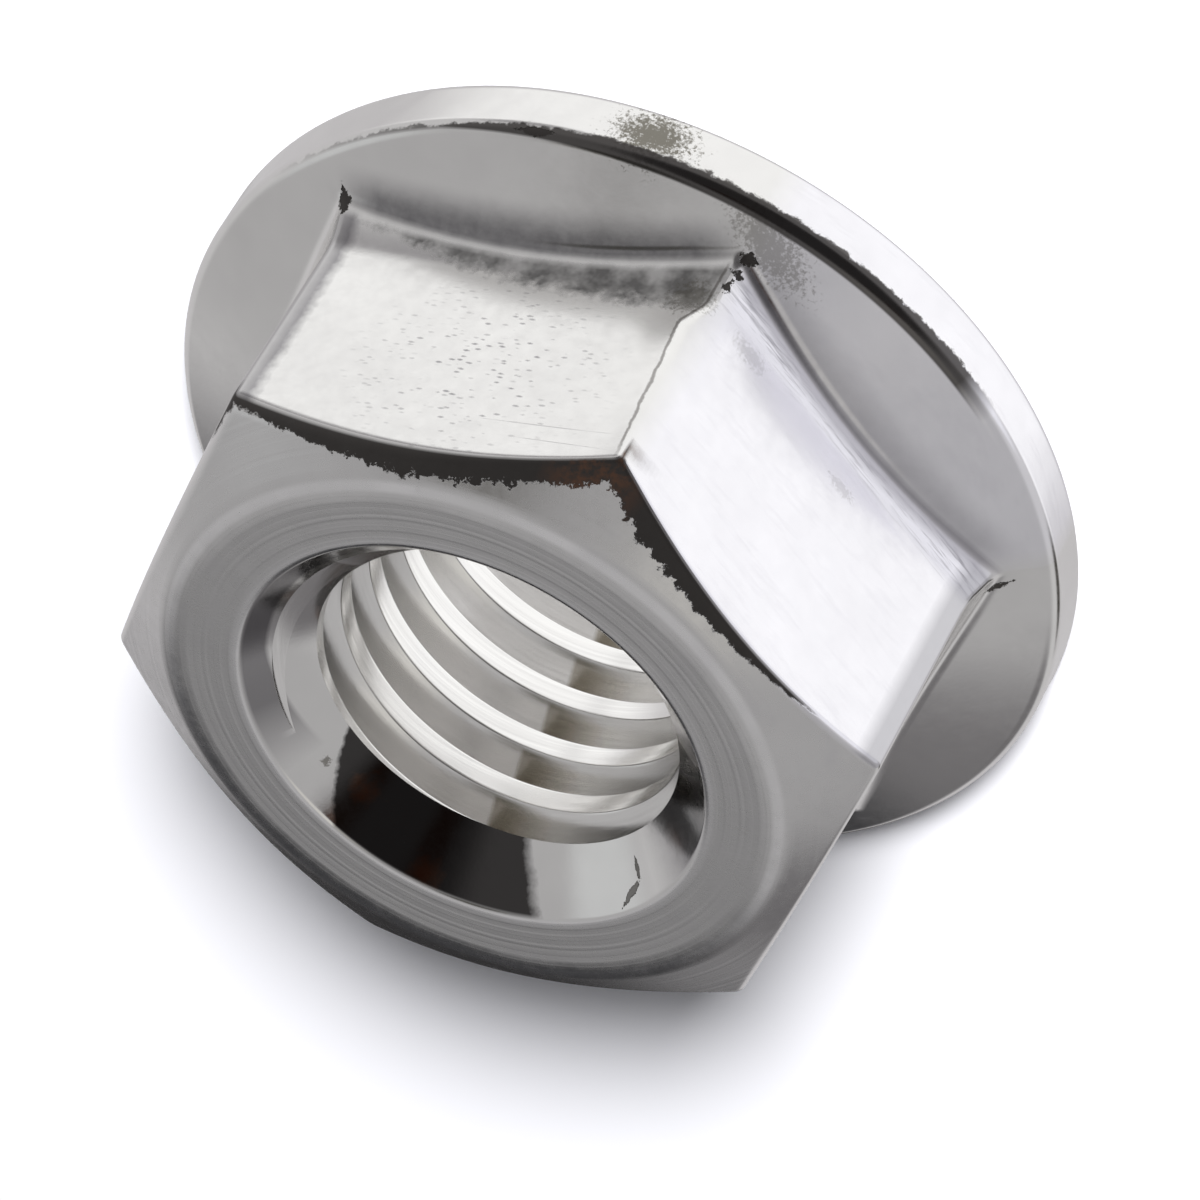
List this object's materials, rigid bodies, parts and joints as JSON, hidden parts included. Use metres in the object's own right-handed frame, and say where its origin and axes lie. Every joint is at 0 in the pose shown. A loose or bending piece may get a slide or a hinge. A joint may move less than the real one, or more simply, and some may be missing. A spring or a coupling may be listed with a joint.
{
  "type": "serrated flange nut",
  "caption": "Hexagon nut with a round conical flange; radial locking teeth under the flange grip the joint and a threaded bore runs right through.",
  "frame": {"origin": "centre of the bearing plane through the tooth crests, on the thread axis", "axes": "+Z along the thread axis, from the flange towards the hexagon's top face; one hexagon corner points along +X"},
  "size_m": [0.0173, 0.0172, 0.0078],
  "materials": {
    "steel": "bright steel, satin turned top face, smooth bright flats, tapped thread"
  },
  "bodies": {
    "root": {"flange_nut": "steel"}
  },
  "joints": []
}
